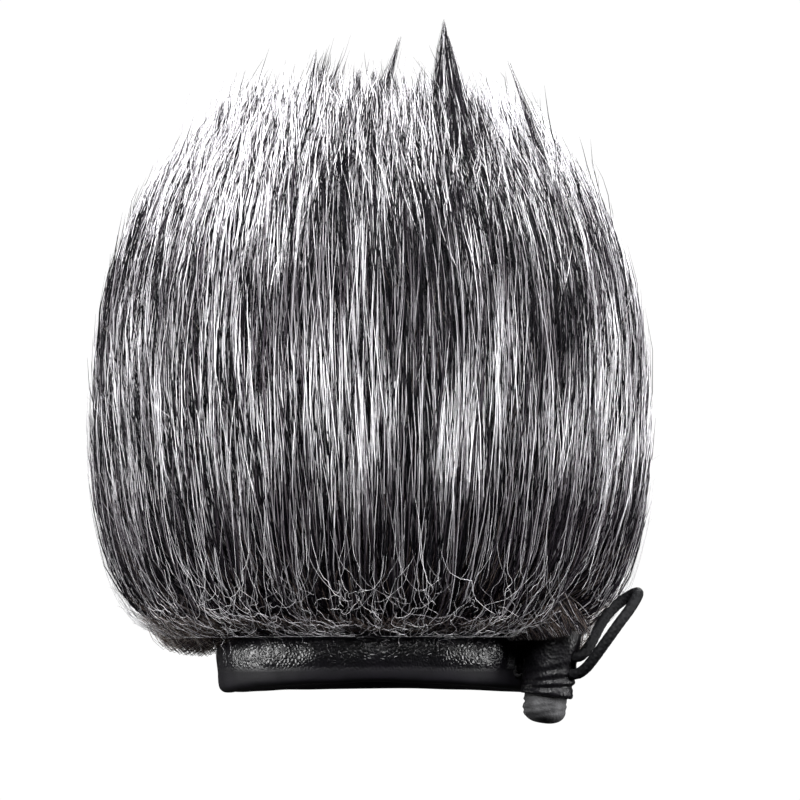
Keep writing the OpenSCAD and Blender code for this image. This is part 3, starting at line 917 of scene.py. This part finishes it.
def grow(angle, root, layer, length, overshoot, stray, turn):
    """Strands from roots on the bag, as points (strand, step, xyz), and their lengths.

    layer is how high in the pile a strand lies, stray how far it strays from the comb and
    turn how it drifts round the axis. Growth stops past the outline by overshoot.
    """
    r, z = root[:, 0].copy(), root[:, 1].copy()
    steps = int(length.max() / STEP) + 1
    path = np.zeros((len(r), steps + 1, 3))
    alive = np.ones(len(r), bool)
    reach = np.zeros(len(r))
    a = angle.copy()
    for step in range(steps + 1):
        row = look_up(r, z)
        path[:, step] = polar(r, a, z)
        path[:, step, 0] -= FUR_LEAN * np.clip(row[:, 0], 0, 1)
        alive &= (row[:, 5] < overshoot) & (reach < length)
        outward = np.clip(BEND * (layer - row[:, 0]), -0.5, BEND) + stray * reach / 20
        run = unit(row[:, 1:3] + row[:, 3:5] * outward[:, None])
        move = STEP * alive
        r = np.abs(r + run[:, 0] * move)
        z = z + run[:, 1] * move
        a = a + turn * move / np.maximum(r, 6)
        reach += move
    return path, np.maximum(reach, 2 * STEP)


def resampled(path, reach, count):
    """The same strands with count points each, evenly spaced along their length."""
    at = np.linspace(0, 1, count)[None, :] * reach[:, None] / STEP
    low = np.minimum(at.astype(int), path.shape[1] - 2)
    part = np.minimum(at - low, 1)[..., None]
    strands = np.arange(len(path))[:, None]
    return path[strands, low] * (1 - part) + path[strands, low + 1] * part


def tufts_of(places, size, jitter=0.2):
    """A number for each strand's tuft: strands near each other share one."""
    cell = np.floor(places / (size, size, 3 * size) + random.normal(0, jitter, places.shape))
    return np.unique(cell @ (1, 1000, 1000000), return_inverse=True)[1]


def gathered(points, tuft, strength):
    """Strands drawn towards the middle line of their tuft, more at the tips."""
    middle = np.zeros((tuft.max() + 1, *points.shape[1:]))
    np.add.at(middle, tuft, points)
    middle /= np.bincount(tuft)[:, None, None]
    along = np.linspace(0, 1, points.shape[1])[None, :, None]
    return points + (middle[tuft] - points) * strength[:, None, None] * along**1.2


def waved(points, least, most, waves):
    """Strands with a slow wave of their own, between two sizes, that grows to the tip."""
    count = len(points)
    size = random.uniform(least, most, count)
    along = np.linspace(0, 1, points.shape[1])
    out = points.copy()
    for axis in (0, 1):
        phase = random.uniform(0, 2 * math.pi, (count, 1))
        rate = random.uniform(0.6, 1.4, (count, 1)) * waves
        out[..., axis] += size[:, None] * along * np.sin(phase + rate * along * 2 * math.pi)
    return out


# ---- fur: its meshes ----
def strand_tubes(points, radius):
    """Closed three-sided tubes along strands: vertices, triangles and each triangle's length
    of strand."""
    count, rings = points.shape[:2]
    runs = unit(np.gradient(points, axis=1))
    side = unit(np.cross(runs, points * (1, 1, 0) + (0, 0, 1e-6)))
    other = np.cross(runs, side)
    corner_lines = [points + radius[..., None] * (math.cos(a) * side + math.sin(a) * other)
                    for a in full_turn(3)]
    vertices = np.stack(corner_lines, axis=2).reshape(-1, 3)
    a = np.arange(rings - 1)[:, None] * 3 + np.arange(3)[None, :]
    b = np.arange(rings - 1)[:, None] * 3 + (np.arange(3)[None, :] + 1) % 3
    walls = np.stack([np.stack([a, b, b + 3], -1), np.stack([a, b + 3, a + 3], -1)], 2)
    last = (rings - 1) * 3
    one = np.vstack([[[0, 2, 1]], walls.reshape(-1, 3), [[last, last + 1, last + 2]]])
    faces = (one[None] + np.arange(count)[:, None, None] * rings * 3).reshape(-1, 3)
    segment = np.concatenate([[0], np.repeat(np.arange(rings - 1), 6), [rings - 2]])
    return vertices, faces, segment


def fur_piece(name, points, radius, tone, side, body):
    """A piece of fur from strands; tone is given for each length between two points."""
    vertices, faces, segment = strand_tubes(points, radius)
    tones = np.broadcast_to(tone, (len(points), points.shape[1] - 1))[:, segment]
    mesh = bpy.data.meshes.new(name)
    mesh.vertices.add(len(vertices))
    mesh.vertices.foreach_set("co", (vertices * MM).astype(np.float32).ravel())
    mesh.loops.add(faces.size)
    mesh.loops.foreach_set("vertex_index", faces.astype(np.int32).ravel())
    mesh.polygons.add(len(faces))
    mesh.polygons.foreach_set("loop_start", np.arange(0, faces.size, 3, dtype=np.int32))
    mesh.polygons.foreach_set("use_smooth", np.ones(len(faces), bool))
    for material in FIBRES:
        mesh.materials.append(material)
    mesh.polygons.foreach_set("material_index", np.round(tones).astype(np.int32).ravel())
    mesh.update(calc_edges=True)
    return stands_for(add_to_scene(name, mesh), f"fur_{side}", body)


def fur_pieces(name, points, radius, tone, sectors):
    """Strands clear of the lock's pocket, split into front and back pieces by their roots."""
    place = (points - LOCK_PLACE) @ LOCK_AXES.T
    sideways = np.hypot(place[..., 0] - np.clip(place[..., 0], 0, PULL_TRAVEL), place[..., 1])
    inside = (sideways < LOCK_ROOM) & (np.abs(place[..., 2] - LOCK_MIDDLE) < LOCK_HALF)
    angle = np.arctan2(points[:, 0, 1], points[:, 0, 0])
    part = np.minimum(((angle / math.pi + 1) / 2 * sectors).astype(int), sectors - 1)
    for i in range(sectors):
        chosen = (part == i) & ~inside.any(axis=1)
        side = "front" if i < sectors / 2 else "back"
        fur_piece(f"{name}_{side}_{i % (sectors // 2) + 1}", points[chosen], radius[chosen],
                  tone[chosen], side, "windscreen")


# ---- fur: its kinds of hair ----
# Tone of the guard hair by height above the mouth: (height, middle tone, spread).
GUARD_TONES = [(6, 0.9, 2.8), (16, 0.9, 2.8), (24, 1.7, 3.8), (33, 3.0, 5.0), (44, 3.7, 5.6),
               (54, 2.3, 5.2), (62, 1.9, 5.2), (70, 3.2, 5.8), (80, 4.2, 6.4), (90, 4.0, 6.8),
               (98, 1.5, 4.6)]


def guard_tone(points, kind):
    """The tone along strands from the height, a strand's own kind and a slow variation."""
    middle = (points[:, 1:] + points[:, :-1]) / 2
    z = middle[..., 2]
    heights, tones, spreads = np.array(GUARD_TONES).T
    own = kind[:, None] + 0.35 * soft_noise(middle, 6.0, 3)
    tone = np.interp(z, heights, tones) + np.interp(z, heights, spreads) * own
    tone = tone + random.normal(0, 0.3, z.shape)
    low = 1.5 + 0.9 * own + 4.6 * smoother(0.93, 0.985, kind)[:, None]
    sparse = 1 - smoother(10, 36, z)
    return np.clip(tone * (1 - sparse) + low * sparse, 0, LIGHTEST)


def guard_hair(count, sectors):
    """The long combed pile."""
    angle, root = roots(count)
    layer = random.beta(2.6, 0.9, count)
    top = smoother(60, 76, root[:, 1])
    places = polar(root[:, 0], angle, root[:, 1])
    ragged = random.normal(0, 1, count)[tufts_of(places, 4.5, 0.1)]
    length = random.normal(34, 4, count)
    overshoot = random.exponential(0.5 + 0.8 * top) + top * (-2.6 + 2 * ragged)
    stray = random.normal(0, 0.08 + 0.14 * top)
    turn = random.normal(0, 0.06 + 0.16 * top)
    points = resampled(*grow(angle, root, layer, length, overshoot, stray, turn), 7)
    lock = tufts_of(points[:, 4], 1.0)
    points = gathered(points, lock, random.uniform(0.1, 0.6, count))
    tuft = tufts_of(points[:, 4], 3.0)
    points = gathered(points, tuft, top * random.uniform(0.2, 0.75, count))
    points = waved(points, 0.05, 0.35, 1.2)
    kind = (0.4 * random.normal(0, 1, count)[lock] + 0.9 * random.normal(0, 1, count)
            + (0.15 + 0.7 * top) * random.normal(0, 1, count)[tuft])
    thick = random.uniform(0.055, 0.112, count) * (1 - 0.25 * top) * (1 + 0.3 * (kind < 0))
    taper = np.array([0.8, 1, 1, 0.95, 0.85, 0.6, 0.12])
    tone = guard_tone(points, np.tanh(1.7 * kind))
    fur_pieces("guard_hair", points, thick[:, None] * taper, tone, sectors)


def under_hair(count, sectors):
    """The short soft hair that fills the pile: brown below, taupe and white above."""
    angle, root = roots(count)
    layer = random.uniform(0.6, 1.1, count)
    length = random.uniform(11, 20, count)
    stray = random.normal(0, 0.5, count)
    turn = random.normal(0, 0.3, count)
    overshoot = random.exponential(0.6, count)
    points = resampled(*grow(angle, root, layer, length, overshoot, stray, turn), 5)
    points = waved(points, 0.1, 0.5, 1.6)
    thick = random.uniform(0.03, 0.055, count)
    taper = np.array([0.9, 1, 1, 0.8, 0.15])
    # The pale underfur starts lower at the left and right edges: partly pale fluff there, partly a
    # painted backlit glow at the sides
    pale_side_and_glow = 14 * smoother(22, 36, np.abs(points[:, 1:, 0]))
    # Brown underfur held up to the middle of the pile: partly its own colour, partly painted shade
    # between the locks
    high = smoother(42, 76, points[:, 1:, 2] + pale_side_and_glow + random.normal(0, 5, (count, 1)))
    pick = random.uniform(0, 1, (count, 1))
    light = np.where(pick < 0.4, TAUPE, np.where(pick < 0.7, LIGHTEST, LIGHTEST - 2))
    dark = np.where(pick < 0.5, BROWN, 2)
    fur_pieces("under_hair", points, thick[:, None] * taper, np.where(high > 0.5, light, dark),
               sectors)


def splayed_hair(count, sectors):
    """Fine pale hairs that come out over the collar, curl, and straighten as they rise."""
    rings = 26
    reach = lengths_along(FUR_LINE)
    s = 0.3 + 24 * random.beta(0.9, 1.5, count)
    a = random.uniform(-math.pi, math.pi, count)
    length = random.uniform(7, 34, count)
    curly = random.uniform(0, 1, count) < 0.42
    length[curly] *= 0.36
    out = random.uniform(-1.2, 0.5, count)
    hanging = random.uniform(0.5, 3, count) * (s < 3) * (random.uniform(0, 1, count) < 0.3)
    out[hanging > 0] += 1.6
    heading = random.normal(0, 0.1 + 0.6 * curly)
    side = np.zeros(count)
    wave = random.uniform(0.1, 0.45, count) * (1 + curly)
    rate = 2 * math.pi / random.uniform(3, 7, count)
    phase = random.uniform(0, 2 * math.pi, count)
    points = np.zeros((count, rings, 3))
    start = s.copy()
    for k in range(rings):
        r = np.interp(s, reach, FUR_LINE[:, 0]) + out
        z = np.interp(s, reach, FUR_LINE[:, 1])
        low = z - hanging * (1 - k / (rings - 1))**6
        points[:, k] = polar(r, a, low) - (FUR_LEAN, 0, 0)
        curl = 1 - 0.93 * smoother(10, 21, z)
        kink = random.normal(0, 1.1, count) * (random.uniform(0, 1, count) < 0.34)
        heading += curl * (kink + random.normal(0, 0.1, count)) - 0.3 * heading
        step = length * (0.3 + 1.4 * k / (rings - 1)) / rings
        lean = heading + curl * wave * np.sin(phase + rate * (s - start))
        s = s + np.cos(lean) * step
        a = a + np.sin(lean) * step / r
        side = 0.8 * side + curl * random.normal(0, 0.25, count)
        out = np.clip(out + 0.2 * step * side, -1.5 + 1.7 * (hanging > 0), 1.2)
    thick = random.uniform(0.02, 0.032, count)
    taper = np.interp(np.arange(rings), [0, 1, rings - 3, rings - 1], [0.3, 1, 1, 0.2])
    tone = random.normal(7.2, 1.5, (count, 1)) + random.normal(0, 0.6, (count, rings - 1))
    fur_pieces("splayed_hair", points, thick[:, None] * taper, np.clip(tone, 2, LIGHTEST),
               sectors)


SKIRT_R = (25.2, 31.5)        # the ring under the belly that the fuzz grows from
SKIRT_Z = 8.9


def skirt_hair(count, sectors):
    """Brown fuzz under the belly, hanging lower at the sides and the back than in front."""
    a = random.uniform(-math.pi, math.pi, (count, 1))
    sideways = smoother(0.1, 0.75, 1 + np.sin(a))
    droop = random.uniform(0.2, 1, (count, 1)) * (0.4 + 3.4 * sideways)
    droop[np.abs(a + LOCK_ANGLE) < 0.42] *= 0.1
    r = random.uniform(*SKIRT_R, (count, 1))
    out = random.uniform(2.5, 6.5, (count, 1))
    along = np.linspace(0, 1, 6)
    z = SKIRT_Z + 0.25 * np.maximum(r - 28, 0) + 0.3 * out * along**2
    z = z - droop * np.sin(math.pi * np.minimum(along * 1.25, 1))
    points = polar(r + out * along, a + random.normal(0, 0.05, (count, 1)) * along, z)
    points[..., 0] -= FUR_LEAN * along
    points = waved(points, 0.1, 0.5, 1.5)
    thick = random.uniform(0.03, 0.055, (count, 1))
    taper = np.array([0.6, 1, 1, 0.9, 0.6, 0.15])
    pick = random.uniform(0, 1, (count, 1))
    tone = np.where(pick < 0.5, BROWN, np.where(pick < 0.75, 3,
                    np.where(sideways > 0.5, TAUPE, np.where(pick < 0.93, 1, 6))))
    fur_pieces("skirt_hair", points, thick * taper, tone, sectors)


CROWN_LOW, CROWN_TOP = 56, 90                   # heights that the loose locks grow from
CROWN_REACH = 35


def crown_hair(count, sectors):
    """Upright loose locks over the crown: dark, with pale hair and gaps between them."""
    rising = FUR_LINE[FUR_LINE[:, 0].argmax():][::-1]
    z = CROWN_LOW + (CROWN_TOP - CROWN_LOW) * random.beta(1.3, 1.0, count)
    r = np.abs(np.interp(-z, -rising[:, 1], rising[:, 0]) - 0.8 - random.exponential(2.4, count))
    a = random.uniform(-math.pi, math.pi, count)
    start = polar(r, a, z)
    lock = tufts_of(start * (1, 1, 0.35), 2.2, 0.12)
    rank = random.normal(0, 1, count)[lock]
    slope = -0.0105 * start[:, :2] + random.normal(0, 0.12, (count, 2))
    slope += random.normal(0, 0.1, (count, 2))[lock]
    run = unit(np.column_stack([slope, np.ones(count)]))
    patch = soft_noise(start, 9.0, 12)
    # edge makes pale hair likelier towards the left and right of the top: a painted backlit glow
    # at the sides
    edge = smoother(8, 28, np.abs(start[:, 0])) * smoother(58, 76, z)
    pale = random.normal(0, 1, count) + 0.5 * rank + 0.6 * patch + 0.9 * edge > 0.05
    over = 1.3 * rank + 2.2 * np.abs(np.sin(a)) + random.exponential(1.3, count)
    way = start[:, None] + run[:, None] * np.arange(1, CROWN_REACH + 1)[None, :, None]
    outside = look_up(np.hypot(way[..., 0], way[..., 1]), way[..., 2])[..., 5]
    past = outside > np.maximum(over, 0.2)[:, None]
    reach = np.where(past.any(axis=1), past.argmax(axis=1) + 1, CROWN_REACH)
    reach = reach * random.uniform(0.8, 1, count)
    reach = np.minimum(reach, random.uniform(11, 24, count) + 8 * ~pale)
    along = np.linspace(0, 1, 7)[None, :] * reach[:, None]
    points = start[:, None] - (FUR_LEAN, 0, 0) + run[:, None] * along[..., None]
    points = gathered(points, lock, random.uniform(0.1, 0.75, count))
    points = waved(points, 0.1, 0.6, 1.1)
    thick = random.uniform(0.045, 0.085, count) + 0.04 * ~pale
    taper = np.array([0.25, 0.8, 1, 0.85, 0.65, 0.4, 0.08])
    tone = np.where(pale, 8.5 + 0.8 * random.normal(0, 1, count),
                    np.abs(random.normal(0, 1.1, count)))
    # Each strand's tone is darkened towards its root: painted self-shadow
    painted_root_shade = np.array([0.25, 0.6, 0.9, 1, 1, 1])
    tone = np.clip(tone[:, None] * painted_root_shade + random.normal(0, 0.4, (count, 6)), 0, LIGHTEST)
    kept = reach > 4
    fur_pieces("crown_hair", points[kept], thick[kept, None] * taper, tone[kept], sectors)


# Box of the fringe's tips, over the top of the lock, and the heights on the bag it grows from.
FRINGE_X, FRINGE_Y, FRINGE_Z = (19.8, 32.6), (-22.6, -20.4), 7.4
FRINGE_ROOTS = (12.5, 18)


def lock_fringe(count):
    """Hair that falls over the top of the lock."""
    x = random.uniform(*FRINGE_X, count)
    tip = np.column_stack([x, random.uniform(*FRINGE_Y, count),
                           FRINGE_Z + 0.9 * smoother(24, 31, x) + random.exponential(0.6, count)])
    root_a = np.radians(-62 + 42 * (x - 20.5) / 11) + random.normal(0, 0.06, count)
    root_z = random.uniform(*FRINGE_ROOTS, count)
    root = polar(np.interp(root_z, BAG_LINE[:, 1], BAG_LINE[:, 0]), root_a, root_z)
    over = (root + tip) / 2 + np.column_stack([np.zeros(count), random.uniform(-2.5, -0.5, count),
                                               random.uniform(1.8, 3.6, count)])
    t = np.linspace(0, 1, 9)[None, :, None]
    points = ((1 - t)**2 * root[:, None] + 2 * t * (1 - t) * over[:, None]
              + t**2 * tip[:, None])
    points = waved(points, 0.1, 0.5, 1.3)
    thick = random.uniform(0.045, 0.085, (count, 1))
    taper = np.array([0.8, 1, 1, 1, 1, 0.9, 0.8, 0.6, 0.15])
    pick = random.uniform(0, 1, (count, 1))
    tone = np.where(pick < 0.4, 1, np.where(pick < 0.65, 2, np.where(pick < 0.88, BROWN, 7)))
    fringe = fur_piece("lock_fringe", points, thick * taper, tone, "front", None)
    follow_both(fringe, ("windscreen", "lock"), from_exit(26.5, 0, 10), from_exit(31.5, 0, 10))


# Tufts that stand up from the crown: foot and tip, width at the foot and number of strands.
TUFTS = [((11.2, -25, 82), (9.9, -12, TUFT_TOP), 2.2, 900),
         ((12.9, -24, 82), (11.6, -13, 97), 2, 260),
         ((-27.5, -18, 72), (-24.4, -12, 92.5), 1.8, 110),
         ((-20.5, -22, 76), (-19.8, -13, 94.5), 1.4, 60),
         ((-14.5, -25, 76), (-15.3, -15, 95), 1.8, 90),
         ((-12.5, -25, 78), (-9.8, -14, 99.5), 2.4, 200),
         ((-8.5, -25, 80), (-7.6, -15, 96), 3, 300),
         ((-5.5, -26, 78), (-3.2, -15, 96.5), 3.6, 450), ((-3, -25, 79), (3.2, -15, 101.5), 2, 70),
         ((-1, -27, 80), (-0.8, -17, 96.5), 4, 600), ((1.8, -25, 79), (2.6, -14, 96), 2.6, 180),
         ((5, -24, 80), (6.2, -13, 97), 1.8, 80), ((28.8, -18, 73), (19.9, -13, 98), 1.3, 34),
         ((33.5, -14, 66), (27.5, -11, 86), 1.1, 50), ((-33, -14, 66), (-29, -11, 84), 1.2, 50),
         ((18.5, -24, 72), (14, -17, 90), 1.2, 50), ((12, 20, 76), (10, 12, 96), 3.4, 160),
         ((-12, 22, 76), (-10, 14, 95), 3.4, 160), ((-24, 16, 74), (-20, 11, 93), 2.4, 90),
         ((24, 18, 74), (19, 12, 94), 2.4, 90), ((0, 26, 74), (-1, 16, 94), 3.4, 160)]


def crown_tufts(sectors):
    """Dark pointed tufts with loose strands round them."""
    lots = []
    for foot, tip, width, count in TUFTS:
        foot, tip = np.array(foot), np.array(tip)
        share = random.uniform(0, 1, count) ** 0.5
        turn = random.uniform(0, 2 * math.pi, count)
        reach = 0.3 + 0.7 * random.beta(2.1, 1.5, count)
        reach[:8] = 0.97 + 0.03 * np.arange(8) / 7
        along = np.linspace(0, 1, 8)[None, :] * reach[:, None]
        loose = 1 + 1.2 * (random.uniform(0, 1, count) < 0.28)
        spread_out = width * ((1 - along)**0.95 + 0.06 * (1 - along)) * (share * loose)[:, None]
        line = foot + (tip - foot) * along[..., None]
        lots.append(waved(line + polar(spread_out, turn[:, None], 0), 0.05, 0.4, 1.2))
    points = np.concatenate(lots)
    thick = random.uniform(0.05, 0.1, (len(points), 1))
    taper = np.array([0.8, 1, 1, 1, 0.9, 0.75, 0.5, 0.12])
    pale = random.uniform(0, 1, (len(points), 1)) < 0.18
    tone = np.where(pale, 8, np.abs(random.normal(0, 1.2, (len(points), 1))))
    fur_pieces("crown_tufts", points, thick * taper, tone, sectors)


add_camera()
add_loop()
add_drawcord()
add_studio()
add_collar()
add_buttonhole()
add_bar_tacks()
add_collar_seam()
add_tape()
add_backing()
add_side_seam()
add_liner()
add_barrel()
add_plunger()
add_spring()
for whipping in frame["nodes"]["cord_whipping"].material_slots:
    whipping.material = THREAD_BLACK
guard_hair(count=40000, sectors=10)
under_hair(count=20000, sectors=4)
splayed_hair(count=1000, sectors=2)
skirt_hair(count=3500, sectors=2)
crown_hair(count=9500, sectors=3)
lock_fringe(count=900)
crown_tufts(sectors=2)
